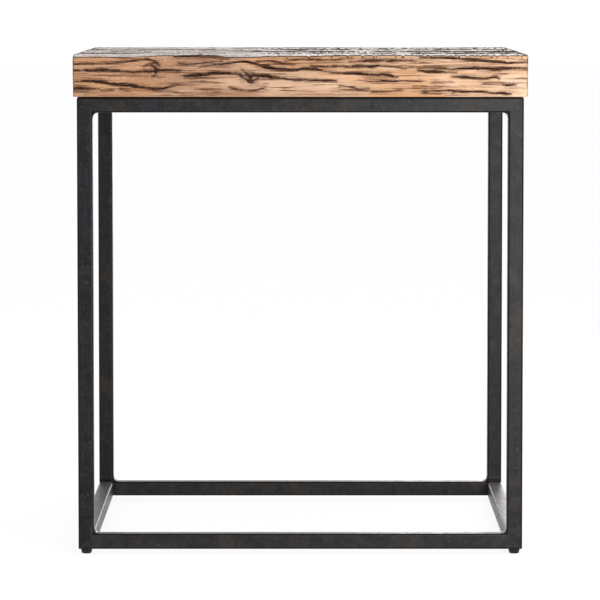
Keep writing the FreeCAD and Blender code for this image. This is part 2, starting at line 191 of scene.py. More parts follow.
def along_curve(value, points):
    """A smooth line through points from 0 to 1, read at a value."""
    node = add_node(value.tree, "ShaderNodeFloatCurve", {"Value": value})
    line = node.mapping.curves[0].points
    for _ in points[2:]:
        line.new(0.5, 0.5)
    for point, place in zip(line, points):
        point.location = place
    node.mapping.update()
    return result(node)


# Geometry trees

def new_tree(name, inputs):
    """An empty geometry tree with named inputs; gives the tree and a reader of its inputs."""
    tree = bpy.data.node_groups.new(name, "GeometryNodeTree")
    tree.interface.new_socket("Geometry", in_out="OUTPUT", socket_type="NodeSocketGeometry")
    for label, kind in inputs:
        tree.interface.new_socket(label, in_out="INPUT", socket_type=f"NodeSocket{kind}")
    given = tree.nodes.new("NodeGroupInput")
    return tree, lambda label: Field(given.outputs[label])


def end_tree(tree, geometry, material):
    """Real geometry in its material, as the tree's last nodes."""
    real = add_node(tree, "GeometryNodeRealizeInstances", {"Geometry": geometry})
    dressed = add_node(tree, "GeometryNodeSetMaterial", {"Geometry": real, "Material": material})
    add_node(tree, "NodeGroupOutput", {"Geometry": dressed})
    return tree


def position(tree):
    return result(tree.nodes.new("GeometryNodeInputPosition"))


def store(geometry, name, value, kind="FLOAT"):
    """Keeps a field on the points of a geometry under a name."""
    inputs = {"Geometry": geometry, "Name": name, "Value": value}
    return add_node(value.tree, "GeometryNodeStoreNamedAttribute", inputs, data_type=kind)


def read_attribute(tree, name, kind):
    inputs = {"Name": name}
    return result(add_node(tree, "GeometryNodeInputNamedAttribute", inputs, data_type=kind))


def sample(geometry, nearest, field, kind="FLOAT"):
    """The value that a field has at the nearest point of other geometry."""
    inputs = {"Geometry": geometry, "Value": field, "Index": nearest}
    return result(add_node(field.tree, "GeometryNodeSampleIndex", inputs, data_type=kind))


def grow(name, tree, values):
    """Runs a geometry tree with its named inputs and keeps the result as a plain mesh."""
    host = add_object(f"{name}_host", bpy.data.meshes.new(f"{name}_host"))
    modifier = host.modifiers.new("grow", "NODES")
    modifier.node_group = tree
    for item in tree.interface.items_tree:
        if item.in_out == "INPUT":
            modifier[item.identifier] = values[item.name]
    evaluated = host.evaluated_get(bpy.context.evaluated_depsgraph_get())
    mesh = bpy.data.meshes.new_from_object(evaluated)
    mesh.name = name
    host.modifiers.clear()
    bpy.data.objects.remove(host)
    return add_object(name, mesh)


# Wood: the patterns that the carving and the finish share

# How far ragged edges wander: along, across and up
WANDER = (0.006, 0.0035, 0.0035)


def wandering(place):
    """The place, pushed about by a millimetre or two, for ragged edges."""
    push = noise(place, (60.0, 150.0, 150.0), detail=2.0, colour=True) - 0.5
    return place + push * WANDER


# The top's weathered blocks: rows across a board and blocks along a row, to the metre
ROWS_PER_METRE = 118.0
BLOCKS_PER_METRE = 160.0
# How far, in metres, the rows bend, their edges waver and the blocks' lengths differ
ROW_BEND = 0.022
ROW_WAVER = (0.006, 0.004, 0.0)
BLOCK_UNEVENNESS = 0.022
# Their joints: thinnest and widest crack, rounding of a corner, worn edge, what closes one
JOINT_WIDTHS = (0.0005, 0.0016)
JOINT_CORNER = 0.0012
JOINT_WEAR = 0.0036
CLOSED_JOINT = 0.003


def short_checks(place):
    """Alligator checks: the open cracks, how worn the blocks' edges are, and their heights."""
    slow = noise(place, (9.0, 26.0, 0.0), detail=2.0, colour=True) - 0.5
    quick = noise(place, (130.0, 170.0, 0.0), detail=2.0, colour=True) - 0.5
    x, y, _ = (place + slow * ROW_BEND + quick * ROW_WAVER).parts()
    rows = y * ROWS_PER_METRE
    row = rows.maths("FLOOR")
    uneven = noise(vector_of(x * 70.0, row * 9.7, 0.0), 1.0, detail=0.0)
    blocks = (x + uneven * BLOCK_UNEVENNESS) * BLOCKS_PER_METRE + toss(row, 0.0) * 5.0
    block = blocks.maths("FLOOR")
    # Some neighbours have not parted
    closed = noise(place, (24.0, 60.0, 0.0), detail=1.0)
    from_row = rows.maths("PINGPONG", 0.5) / ROWS_PER_METRE
    from_row = from_row + closed.ramp(0.45, 0.6, 0.0, CLOSED_JOINT)
    from_block = blocks.maths("PINGPONG", 0.5) / BLOCKS_PER_METRE
    from_block = from_block + toss(block, row).ramp(0.55, 0.75, 0.0, CLOSED_JOINT)
    edge = from_row.maths("SMOOTH_MIN", from_block, JOINT_CORNER)
    width = noise(place, (9.0, 22.0, 0.0), detail=1.0).ramp(0.32, 0.66, *JOINT_WIDTHS)
    crack = 1.0 - edge.ramp(width * 0.3, width)
    return crack, 1.0 - edge.ramp(0.0, JOINT_WEAR), toss(block + 7.0, row)


def long_checks(place):
    """Long open cracks with the grain on the top of a board."""
    bands = noise(wandering(place), (3.2, 52.0, 0.0), detail=1.0)
    width = noise(place, (6.0, 30.0, 0.0), detail=1.0).ramp(0.45, 0.62, 0.0, 0.012)
    from_crack = (bands - 0.5).maths("ABSOLUTE")
    return 1.0 - from_crack.ramp(width * 0.4, width + 0.001)


def arris_notches(place):
    """Where the blocks of the top end in small notches along the front arris."""
    x, y, _ = place.parts()
    chips = noise(place, (150.0, 0.0, 0.0), detail=2.0, roughness=0.7).ramp(0.5, 0.62)
    near = 1.0 - y.ramp(TOP_LOW.y + NOTCH_FULL, TOP_LOW.y + NOTCH_REACH)
    return chips * near * x.ramp(-0.10, 0.02, 0.25, 1.0)


# Boards

# Checks on the front of the slab, in millimetres: widest opening, then points along the
# check, each from the middle of the table and up from the underside of the top
FRONT_CHECKS = (
    (2.4, (-285, 39.6), (-225, 41.1), (-206, 43.9), (-190, 45.9), (-182, 45.3), (-172, 41.1)),
    (2.6, (-285, 32.5), (-255, 32.3), (-234, 32.9), (-212, 30.8), (-201, 29.7), (-187, 32.3)),
    (2.6, (-190, 31.6), (-178, 30.8), (-169, 32.3), (-146, 32.1)),
    (2.6, (-285, 18.0), (-262, 19.2), (-248, 19.2), (-234, 17.1), (-220, 15.0), (-204, 13.7),
     (-185, 10.9), (-172, 10.2), (-161, 11.5), (-148, 14.3)),
    (2.0, (-285, 10.6), (-272, 10.0), (-244, 9.1)),
    (1.8, (-242, 7.7), (-227, 8.2)),
    (1.6, (-218, 10.0), (-208, 8.2)),
    (2.2, (-147, 40.4), (-130, 39.8), (-112, 41.8), (-95, 43.9)),
    (1.6, (-122, 36.3), (-109, 38.4), (-95, 39.8), (-72, 42.6)),
    (3.4, (-140, 25.3), (-123, 26.7), (-102, 28.8), (-72, 28.1)),
    (3.0, (-76, 26.7), (-50, 26.0), (-33, 24.0), (-10, 21.2), (12, 20.5), (43, 19.8)),
    (2.4, (-152, 49.6), (-120, 49.2), (-89, 47.1)),
    (2.8, (-96, 39.8), (-82, 41.8), (-68, 43.2), (-54, 40.4), (-40, 36.3), (-27, 33.6),
     (-12, 32.5), (7, 34.3), (26, 32.3), (43, 29.5)),
    (2.6, (36, 30.4), (57, 28.8), (78, 28.1), (106, 26.0), (118, 24.2)),
    (1.8, (-53, 44.6), (-38, 43.9), (-24, 41.1), (-7, 38.4)),
    (1.6, (-19, 43.9), (0, 46.0), (23, 47.1)),
    (2.2, (12, 37.1), (29, 36.6), (51, 37.1), (69, 37.4), (86, 36.6), (95, 37.4), (110, 37.1),
     (122, 35.4), (139, 35.0)),
    (2.2, (130, 35.2), (172, 34.7), (194, 34.1), (209, 35.0), (221, 34.3), (240, 33.7),
     (246, 34.7), (285, 33.7)),
    (1.6, (19, 45.3), (43, 45.3), (64, 46.6)),
    (2.2, (60, 42.9), (98, 43.5), (126, 43.8), (140, 43.2)),
    (2.8, (142, 32.5), (154, 30.7), (167, 30.7), (189, 29.3)),
    (2.6, (144, 47.2), (172, 47.2), (197, 45.9), (221, 44.1), (240, 42.3), (251, 40.4)),
    (2.0, (246, 40.6), (262, 41.5), (285, 41.9)),
    (1.4, (98, 26.6), (117, 24.0)),
    (2.0, (81, 19.2), (122, 19.4), (146, 19.1)),
    (1.4, (158, 17.9), (184, 17.9)),
    (2.4, (182, 24.8), (197, 23.6), (209, 22.8), (221, 22.1), (234, 23.1), (241, 22.1)),
    (1.8, (47, 13.2), (63, 12.2), (71, 10.0), (83, 10.9)),
    (1.4, (86, 6.0), (122, 8.2)),
    (1.4, (137, 13.3), (151, 13.3)),
    (1.8, (243, 15.9), (251, 14.7), (261, 14.1)),
    (0.9, (221, 16.8), (275, 16.8)),
    (1.8, (158, 7.4), (178, 8.0), (197, 6.8), (214, 6.5), (228, 6.2)),
    (2.2, (222, 6.6), (244, 3.7), (256, 3.1)),
)

# Splits and rings round the knots of the front
KNOT_CHECKS = (
    (2.4, (-181, 39.1), (-175, 34.5), (-173, 31.0), (-178, 25.5)),
    (1.2, (-189, 36.0), (-183, 39.5), (-176, 41.0), (-169, 37.0)),
    (2.8, (-71, 34.3), (-67, 29.5), (-61, 24.5), (-58, 17.5)),
    (1.8, (-78, 28.5), (-66, 22.0), (-60, 16.5)),
    (1.4, (-63, 31.0), (-55, 27.5), (-50, 24.0), (-56, 19.5)),
    (1.6, (-85, 12.0), (-70, 7.5), (-52, 8.5), (-42, 12.5)),
    (2.6, (149, 5.9), (152, 5.2)),
    (2.2, (184, 5.8), (187, 5.2)),
)
# Knots of the front, in metres: place along, height in the slab and size
KNOTS = (
    (-0.178, 0.0308, 0.010), (-0.061, 0.0225, 0.014), (0.151, 0.0060, 0.006),
    (0.185, 0.0058, 0.005),
)

# How narrow a check is at its tips, as a share of its widest, and how blunt they are
CHECK_TIP = 0.2
CHECK_BLUNTNESS = 0.6


def add_check(curve, points, widest):
    """One open crack as a thin line; its points carry half of its width there."""
    spline = curve.splines.new("POLY")
    spline.points.add(len(points) - 1)
    for number, (place, point) in enumerate(zip(points, spline.points)):
        share = min(max(number / (len(points) - 1), 0.03), 0.97)
        swell = math.sin(math.pi * share) ** CHECK_BLUNTNESS
        point.co = (*place, 1.0)
        point.radius = widest / 2 * (CHECK_TIP + (1 - CHECK_TIP) * swell)


def add_front_checks(curve):
    for widest, *points in FRONT_CHECKS + KNOT_CHECKS:
        places = [(x / 1000, TOP_LOW.y, TOP_LOW.z + z / 1000) for x, z in points]
        add_check(curve, places, widest / 1000)


# Main checks of the tops, as the boards have them: start and end along the table as shares
# of its width, and place across the board as a share of its own width
TOP_CHECKS = {
    "board_front": (
        (-0.05, 0.42, -0.42), (-0.30, 0.54, -0.26), (-0.02, 0.54, -0.09),
        (-0.54, 0.38, 0.07), (0.02, 0.54, 0.23), (-0.12, 0.45, 0.38),
    ),
    "board_front_middle": (
        (-0.45, 0.36, -0.40), (-0.08, 0.54, -0.23), (-0.16, 0.48, -0.07),
        (-0.04, 0.54, 0.10), (-0.54, 0.38, 0.26), (-0.06, 0.54, 0.41),
    ),
    "board_rear_middle": (
        (-0.06, 0.54, -0.39), (-0.20, 0.44, -0.22), (-0.02, 0.54, -0.06),
        (-0.54, 0.40, 0.11), (0.0, 0.54, 0.27), (-0.25, 0.46, 0.42),
    ),
    "board_rear": (
        (-0.54, 0.36, -0.41), (-0.10, 0.54, -0.24), (-0.22, 0.46, -0.08),
        (-0.06, 0.54, 0.08), (-0.44, 0.40, 0.25), (-0.08, 0.54, 0.39),
    ),
}
TOP_CHECK_STEPS = 24
TOP_CHECK_WIDTHS = (0.0014, 0.0040)
CHECK_WANDER = 0.0022


def add_top_checks(curve, dice):
    """The long main checks of the four tops, which wander a few millimetres."""
    for name, checks in TOP_CHECKS.items():
        low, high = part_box(name)
        for start, end, across in checks:
            y = (low.y + high.y) / 2 + across * (high.y - low.y)
            count = round((end - start) * TOP_CHECK_STEPS)
            places = []
            for step in range(count + 1):
                x = (start + (end - start) * step / count) * TOP_SIZE.x
                places.append((x, y + dice.uniform(-CHECK_WANDER, CHECK_WANDER), TOP_HIGH.z))
            add_check(curve, places, dice.uniform(*TOP_CHECK_WIDTHS))


# Checks of the rear, which the photo hides: how many, where they start, their lengths, their
# heights as shares of the slab's, their steps and widths, and how far they keep from an edge
REAR_CHECKS = 34
REAR_CHECK_STARTS = (TOP_LOW.x - 0.03, TOP_HIGH.x - 0.04)
REAR_CHECK_LENGTHS = (0.05, 0.24)
REAR_CHECK_HEIGHTS = (0.06, 0.94)
REAR_CHECK_STEPS = 8
REAR_CHECK_WIDTHS = (0.0012, 0.0034)
REAR_CHECK_MARGIN = 0.003


def add_rear_checks(curve, dice):
    """Checks with the grain over the rear, each wandering a little from its height."""
    for _ in range(REAR_CHECKS):
        start = dice.uniform(*REAR_CHECK_STARTS)
        length = dice.uniform(*REAR_CHECK_LENGTHS)
        height = dice.uniform(*REAR_CHECK_HEIGHTS) * TOP_SIZE.z
        places = []
        for step in range(REAR_CHECK_STEPS + 1):
            height = height + dice.uniform(-CHECK_WANDER, CHECK_WANDER)
            height = min(max(height, REAR_CHECK_MARGIN), TOP_SIZE.z - REAR_CHECK_MARGIN)
            x = start + length * step / REAR_CHECK_STEPS
            places.append((x, TOP_HIGH.y, TOP_LOW.z + height))
        add_check(curve, places, dice.uniform(*REAR_CHECK_WIDTHS))


# Checks of each end of a board: how many, how far from the pith they reach, at what share of
# that they start, how far they turn aside, their steps and widths, and their edge distance
END_CHECKS = 11
END_CHECK_REACH = (0.018, 0.070)
END_CHECK_STARTS = (0.1, 0.7)
END_CHECK_TURN = 0.09
END_CHECK_STEPS = 5
END_CHECK_WIDTHS = (0.0004, 0.0017)
END_CHECK_MARGIN = 0.003

# The heart of the tree, from the middle of each board's underside: rearward and up
PITHS = {
    "board_front": (0.018, 0.012),
    "board_front_middle": (-0.03, -0.02),
    "board_rear_middle": (0.025, -0.004),
    "board_rear": (-0.014, 0.02),
}


def pith_of(name):
    """Where the heart of the tree ran through or under a board."""
    low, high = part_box(name)
    rearward, up = PITHS[name]
    return Vector((0.0, (low.y + high.y) / 2 + rearward, low.z + up))


def end_check(dice, x, pith):
    """Points of a crack that runs out from the pith."""
    angle = dice.uniform(0, 2 * math.pi)
    reach = dice.uniform(*END_CHECK_REACH)
    first = reach * dice.uniform(*END_CHECK_STARTS)
    places = []
    for step in range(END_CHECK_STEPS + 1):
        radius = first + (reach - first) * step / END_CHECK_STEPS
        turn = angle + dice.uniform(-END_CHECK_TURN, END_CHECK_TURN)
        places.append((x, pith.y + radius * math.cos(turn), pith.z + radius * math.sin(turn)))
    return places


def add_end_checks(curve, dice):
    """Cracks that run out from the pith over both ends of each board."""
    for name in BOARDS:
        low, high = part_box(name)
        first, last = low.y + END_CHECK_MARGIN, high.y - END_CHECK_MARGIN
        for x in (TOP_LOW.x, TOP_HIGH.x):
            for _ in range(END_CHECKS):
                places = [p for p in end_check(dice, x, pith_of(name)) if first < p[1] < last]
                if len(places) > 2:
                    add_check(curve, places, dice.uniform(*END_CHECK_WIDTHS))


def make_check_lines():
    """All listed and seeded checks of the slab, as one curve."""
    curve = bpy.data.curves.new("check_lines", "CURVE")
    curve.dimensions = "3D"
    add_top_checks(curve, random.Random(3))
    add_front_checks(curve)
    add_rear_checks(curve, random.Random(7))
    add_end_checks(curve, random.Random(11))
    return add_object("check_lines", curve)


def rounded_block(tree, value):
    """A board's box with rounded edges; the way its surface faces is kept as facing."""
    low, high = value("Low Corner"), value("High Corner")
    size = high - low
    cube = add_node(tree, "GeometryNodeMeshCube", {
        "Size": size,
        "Vertices X": value("Steps Along"),
        "Vertices Y": value("Steps Across"),
        "Vertices Z": value("Steps Deep"),
    })
    # What lies past the inner box goes onto a quarter of an ellipse
    place = position(tree)
    side = place.maths("SIGN")
    toward_rear = place.parts()[1].ramp(-0.001, 0.001)
    round_y = value("Front Round") + (value("Rear Round") - value("Front Round")) * toward_rear
    rounds = vector_of(value("End Round"), round_y, value("End Round"))
    inner = size * 0.5 - rounds
    reach = place.maths("ABSOLUTE")
    outward = ((reach - inner).maths("MAXIMUM", 0.0) / rounds).maths("NORMALIZE")
    rounded = (reach.maths("MINIMUM", inner) + outward * rounds) * side
    return add_node(tree, "GeometryNodeSetPosition", {
        "Geometry": store(cube, "facing", outward * side, "FLOAT_VECTOR"),
        "Position": rounded + (high + low) * 0.5,
    })


# Distance between the points that the drawn checks are cut by
CHECK_POINT_GAP = 0.0012


def nearest_check(checks, place, facing):
    """How far the nearest drawn check is, and half of its width there."""
    tree = place.tree
    lines = result(add_node(tree, "GeometryNodeObjectInfo", {"Object": checks}), "Geometry")
    kind = "GeometryNodeCurveSplineType"
    smooth_lines = add_node(tree, kind, {"Curve": lines}, spline_type="CATMULL_ROM")
    radius = result(tree.nodes.new("GeometryNodeInputRadius"))
    known = store(smooth_lines, "half_width", radius)
    inputs = {"Curve": known, "Length": CHECK_POINT_GAP}
    points = add_node(tree, "GeometryNodeCurveToPoints", inputs, mode="LENGTH")
    push = wandering(place) - place
    ragged = place + push - facing * push.maths("DOT_PRODUCT", facing)
    inputs = {"Geometry": points, "Sample Position": ragged}
    nearest = add_node(tree, "GeometryNodeSampleNearest", inputs)
    half_width = sample(points, nearest, read_attribute(tree, "half_width", "FLOAT"))
    half_width = half_width * noise(place, (48.0, 60.0, 60.0)).ramp(0.3, 0.7, 0.5, 1.5)
    away = sample(points, nearest, place, "FLOAT_VECTOR") - ragged
    return away.maths("LENGTH"), half_width


def worn_arris(place, near_front):
    """How far the top's front arris is worn and chipped down."""
    x, _, z = place.parts()
    deepest = max(depth for _, depth in FRONT_WEAR) / 1000
    line = [(0.5 + along / 1000 / TOP_SIZE.x, depth / 1000 / deepest)
            for along, depth in FRONT_WEAR]
    wear = along_curve(x / TOP_SIZE.x + 0.5, line) * near_front
    wear = wear * z.ramp(TOP_HIGH.z - FRONT_WEAR_HEIGHT, TOP_HIGH.z)
    notches = arris_notches(place) * z.ramp(TOP_HIGH.z - NOTCH_HEIGHT, TOP_HIGH.z)
    return wear * deepest + notches * NOTCH_DEPTH


def carved_board_tree():
    """Geometry nodes that turn a board's box into old, checked timber."""
    tree, value = new_tree("carved_board", (
        ("Low Corner", "Vector"), ("High Corner", "Vector"), ("Pith", "Vector"),
        ("Front Round", "Float"), ("Rear Round", "Float"), ("End Round", "Float"),
        ("Smooth Until", "Float"), ("Steps Along", "Int"), ("Steps Across", "Int"),
        ("Steps Deep", "Int"), ("Checks", "Object"), ("Wood", "Material"),
    ))
    block = rounded_block(tree, value)
    place = position(tree)
    x, y, _ = place.parts()
    facing = read_attribute(tree, "facing", "FLOAT_VECTOR")
    _, facing_y, facing_z = facing.parts()

    # The underside and the seams are as they were sawn
    seam = (EDGE_ROUND + SEAM_ROUND) / 2
    under = (facing_z * -1).ramp(0.3, 0.7)
    seam_front = (facing_y * -1).ramp(0.5, 0.9) * value("Front Round").maths("LESS_THAN", seam)
    seam_rear = facing_y.ramp(0.5, 0.9) * value("Rear Round").maths("LESS_THAN", seam)
    worked = (1 - under) * (1 - seam_front) * (1 - seam_rear)

    # Low swells and ridges with the grain, clear of the front arris
    near_front = 1.0 - y.ramp(TOP_LOW.y, TOP_LOW.y + FRONT_WEAR_REACH)
    swell = noise(place, (5.0, 17.0, 0.0), detail=1.0).ramp(0.36, 0.64)
    ridge = noise(place, (5.0, 74.0, 0.0), detail=2.0).ramp(0.34, 0.66)
    rolling = (swell * TOP_SWELL + ridge * TOP_RIDGE) * (1.0 - near_front)

    # The top's cracks and blocks, less deep at the left
    top = facing_z.ramp(0.8, 0.99)
    rough = x.ramp(value("Smooth Until"), value("Smooth Until") + 0.03, 0.4, 1.0)
    short, worn, height = short_checks(place)
    cracks = short * SHORT_CHECK_DEPTH + long_checks(place) * LONG_CHECK_DEPTH
    blocks = worn * BLOCK_WEAR + height * BLOCK_STEP

    furrows = noise(place, (6.0, 260.0, 260.0), detail=2.0)
    waves = noise(place, (7.0, 20.0, 20.0), detail=2.0).ramp(0.4, 0.8)
    away, half_width = nearest_check(value("Checks"), place, facing)
    drawn = 1 - (away / half_width).ramp(0.1, 1.25)
    depth = furrows * FURROW_DEPTH + waves * SURFACE_WAVE
    depth = depth + (rolling + (cracks + blocks) * rough) * top
    depth = depth + drawn * half_width * 2 * CHECK_DEPTH_TO_WIDTH
    dropped = vector_of(0.0, 0.0, worn_arris(place, near_front))

    # Distance in millimetres to the edge of the nearest crack, before the carving moves it
    known = store(block, "to_crack", (away - half_width) * 1000)
    carved = add_node(tree, "GeometryNodeSetPosition", {
        "Geometry": known,
        "Offset": facing * (depth * worked * -1) - dropped,
    })
    finished = store(carved, "worked", worked)
    finished = store(finished, "pith", place - value("Pith"), "FLOAT_VECTOR")
    smooth = add_node(tree, "GeometryNodeSetShadeSmooth", {"Geometry": finished})
    return end_tree(tree, smooth, value("Wood"))


# Up to where along the table, from its left, the top of each board is smoother
SMOOTH_UNTIL = {
    "board_front": -0.055,
    "board_front_middle": -0.08,
    "board_rear_middle": -0.03,
    "board_rear": -0.10,
}
STEPS_ALONG = 341
STEPS_ACROSS = 86
STEPS_DEEP = 40


def make_boards(wood):
    lines = make_check_lines()
    tree = carved_board_tree()
    for name in BOARDS:
        low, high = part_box(name)
        piece = grow(f"{name}_timber", tree, {
            "Low Corner": low,
            "High Corner": high,
            "Pith": pith_of(name),
            "Front Round": EDGE_ROUND if name == BOARDS[0] else SEAM_ROUND,
            "Rear Round": EDGE_ROUND if name == BOARDS[-1] else SEAM_ROUND,
            "End Round": EDGE_ROUND,
            "Smooth Until": SMOOTH_UNTIL[name],
            "Steps Along": STEPS_ALONG,
            "Steps Across": STEPS_ACROSS,
            "Steps Deep": STEPS_DEEP,
            "Checks": lines,
            "Wood": wood,
        })
        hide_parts(name)
        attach(piece, "frame_and_top")
    bpy.data.objects.remove(lines)


# Screws, studs and feet

SCREW = {
    "Head Width": 0.008,
    "Head Height": 0.0035,
    "Shank Radius": 0.0025,
    "Root Radius": 0.0017,
    "Thread From": 0.004,
    "Pitch": 0.0025,
    "Tip": 0.006,
    "Sides": 24,
    "Rings": 120,
}
STUD = {
    "Pitch": 0.001,
    "Thread Depth": 0.00055,
    "Sides": 24,
    "Rings": 160,
}
HEAD_SIDES = 48
# A head's corners are turned off past this share of its half width, by this slope
HEAD_TURNED_FROM = 0.94
HEAD_SLOPE = 0.58
SCREW_RUN_IN = 0.002
SCREW_POINT = 0.0002
# A stud's ends are cut down to this share of its thread's root
STUD_END = 0.94
FOOT_FLUTES = 18
FOOT_FLUTE_DEPTH = 0.0005
STEPS_PER_FLUTE = 8

# Profile of a foot, from the middle of its base out, up and in to its stud: reach and height
# in millimetres, and how much of a flute's depth there is at that point
FOOT_PROFILE = (
    (2.0, 0.0, 0.0), (4.6, 0.0, 0.0), (5.2, 0.08, 0.2), (5.65, 0.34, 0.6), (5.98, 0.85, 1.0),
    (6.25, 1.7, 1.0), (6.5, 2.8, 1.0), (6.75, 4.0, 1.0), (6.92, 4.9, 1.0), (6.88, 5.3, 0.8),
    (6.65, 5.6, 0.4), (6.1, 5.7, 0.0), (4.5, 5.7, 0.0), (3.3, 5.7, 0.0), (3.05, 5.55, 0.0),
    (3.05, 3.5, 0.0), (3.05, 1.65, 0.0), (2.0, 1.6, 0.0),
)


def round_bar(tree, sides, rings, caps=1):
    """A closed bar; gives its mesh, and the turn, height and reach of its points, 0 to 1."""
    bar = add_node(tree, "GeometryNodeMeshCylinder", {
        "Vertices": sides,
        "Side Segments": rings,
        "Fill Segments": caps,
        "Radius": 1.0,
        "Depth": 1.0,
    }, fill_type="TRIANGLE_FAN")
    x, y, z = position(tree).parts()
    return bar, y.maths("ARCTAN2", x), z + 0.5, (x * x + y * y).maths("SQRT")


def shaped(mesh, turn, radius, height):
    """The mesh with its points at that radius and height, smooth but for its flat ends."""
    tree = turn.tree
    place = vector_of(turn.maths("COSINE") * radius, turn.maths("SINE") * radius, height)
    moved = add_node(tree, "GeometryNodeSetPosition", {"Geometry": mesh, "Position": place})
    steep = result(tree.nodes.new("GeometryNodeInputNormal")).parts()[2]
    return add_node(tree, "GeometryNodeSetShadeSmooth", {
        "Geometry": moved,
        "Shade Smooth": steep.maths("ABSOLUTE").maths("LESS_THAN", 0.8),
    })


def thread(turn, height, pitch):
    """From 0 on the crest of a thread to 1 at its root."""
    return (height / pitch - turn / (2 * math.pi)).maths("PINGPONG", 0.5) * 2


def threaded_stud_tree():
    tree, value = new_tree("threaded_stud", (
        ("Foot of Stud", "Vector"), ("Length", "Float"), ("Radius", "Float"),
        ("Pitch", "Float"), ("Thread Depth", "Float"), ("Sides", "Int"), ("Rings", "Int"),
        ("Steel", "Material"),
    ))
    mesh, turn, share, reach = round_bar(tree, value("Sides"), value("Rings"))
    height = share * value("Length")
    from_end = height.maths("MINIMUM", value("Length") - height)
    root = value("Radius") - value("Thread Depth")
    radius = value("Radius") - thread(turn, height, value("Pitch")) * value("Thread Depth")
    radius = radius.maths("MINIMUM", root * STUD_END + from_end)
    moved = add_node(tree, "GeometryNodeSetPosition", {
        "Geometry": shaped(mesh, turn, radius * reach, height),
        "Offset": value("Foot of Stud"),
    })
    return end_tree(tree, moved, value("Steel"))


def wood_screws_tree():
    """Hexagon-head wood screws at the corners of a rectangle, heads down."""
    tree, value = new_tree("wood_screws", (
        ("Middle under Heads", "Vector"), ("Row Length", "Float"), ("Row Gap", "Float"),
        ("Length", "Float"), ("Head Width", "Float"), ("Head Height", "Float"),
        ("Shank Radius", "Float"), ("Root Radius", "Float"), ("Thread From", "Float"),
        ("Pitch", "Float"), ("Tip", "Float"), ("Sides", "Int"), ("Rings", "Int"),
        ("Steel", "Material"),
    ))
    # Head: a hexagon with its lower corners turned off
    mesh, turn, share, reach = round_bar(tree, HEAD_SIDES, 3, 5)
    flat = value("Head Width") * 0.5
    in_side = turn.maths("WRAP", math.pi / 3, 0.0) - math.pi / 6
    radius = flat / in_side.maths("COSINE") * reach
    turned_off = (radius - flat * HEAD_TURNED_FROM).maths("MAXIMUM", 0.0) * HEAD_SLOPE
    height = (share * value("Head Height")).maths("MAXIMUM", turned_off)
    head = shaped(mesh, turn, radius, height)

    # Shank: plain through the tube's wall, then threaded to a point
    mesh, turn, share, reach = round_bar(tree, value("Sides"), value("Rings"))
    run = value("Length") - value("Head Height")
    along = share * run
    depth = value("Shank Radius") - value("Root Radius")
    groove = thread(turn, along, value("Pitch")).maths("POWER", 0.6) * depth
    cut = along.ramp(value("Thread From"), value("Thread From") + SCREW_RUN_IN)
    radius = value("Shank Radius") - groove * cut
    point = (run - along) * (value("Shank Radius") / value("Tip")) + SCREW_POINT
    radius = radius.maths("MINIMUM", point)
    shank = shaped(mesh, turn, radius * reach, along + value("Head Height"))
    screw = tree.nodes.new("GeometryNodeJoinGeometry")
    for part in (head, shank):
        plug(screw.inputs["Geometry"], part)

    corners = add_node(tree, "GeometryNodeMeshGrid", {
        "Size X": value("Row Length"),
        "Size Y": value("Row Gap"),
        "Vertices X": 2,
        "Vertices Y": 2,
    })
    inputs = {"Geometry": corners, "Offset": value("Middle under Heads")}
    placed = add_node(tree, "GeometryNodeSetPosition", inputs)
    inputs = {"Points": placed, "Instance": screw}
    screws = add_node(tree, "GeometryNodeInstanceOnPoints", inputs)
    return end_tree(tree, screws, value("Steel"))


def make_screws(steel):
    low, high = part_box("top_screws")
    piece = grow("top_screws_threaded", wood_screws_tree(), {
        **SCREW,
        "Middle under Heads": Vector((0, 0, low.z)),
        "Row Length": high.x - low.x - SCREW["Head Width"] / math.cos(math.pi / 6),
        "Row Gap": high.y - low.y - SCREW["Head Width"],
        "Length": high.z - low.z,
        "Steel": steel,
    })
    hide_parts("top_screws")
    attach(piece, "frame_and_top")


def make_studs(steel):
    tree = threaded_stud_tree()
    for corner in CORNERS:
        low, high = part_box(f"foot_stud_{corner}")
        middle = (low + high) / 2
        piece = grow(f"foot_stud_{corner}_threaded", tree, {
            **STUD,
            "Foot of Stud": Vector((middle.x, middle.y, low.z)),
            "Length": high.z - low.z,
            "Radius": (high.x - low.x) / 2,
            "Steel": steel,
        })
        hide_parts(f"foot_stud_{corner}")
        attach(piece, f"stud_{corner}")


def make_feet(plastic):
    """Fluted feet, turned from their profile, with rounded ridges between the flutes."""
    steps = STEPS_PER_FLUTE * FOOT_FLUTES
    rows = len(FOOT_PROFILE)
    faces = []
    for row in range(rows - 1):
        for step in range(steps):
            after = (step + 1) % steps
            first, second = row * steps, (row + 1) * steps
            faces.append((first + step, first + after, second + after, second + step))
    faces.append(tuple(reversed(range(steps))))
    faces.append(tuple(range((rows - 1) * steps, rows * steps)))
    for corner in CORNERS:
        low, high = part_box(f"foot_base_{corner}")
        middle = (low + high) / 2
        points = []
        for reach, height, fluted in FOOT_PROFILE:
            for step in range(steps):
                angle = 2 * math.pi * step / steps
                flute = abs(math.sin(FOOT_FLUTES * angle / 2)) ** 0.7
                radius = reach / 1000 - (1 - flute) * fluted * FOOT_FLUTE_DEPTH
                x = middle.x + radius * math.cos(angle)
                y = middle.y + radius * math.sin(angle)
                points.append((x, y, low.z + height / 1000))
        mesh = bpy.data.meshes.new(f"foot_base_{corner}_fluted")
        mesh.from_pydata(points, [], faces)
        mesh.polygons.foreach_set("use_smooth", [len(face) == 4 for face in faces])
        mesh.materials.append(plastic)
        piece = add_object(mesh.name, mesh)
        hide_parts(f"foot_base_{corner}")
        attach(piece, f"foot_{corner}")


# Finishes

def empty_nodes(owner):
    """The node tree of a material or a world, with nothing in it."""
    owner.use_nodes = True
    owner.node_tree.nodes.clear()
    return owner.node_tree


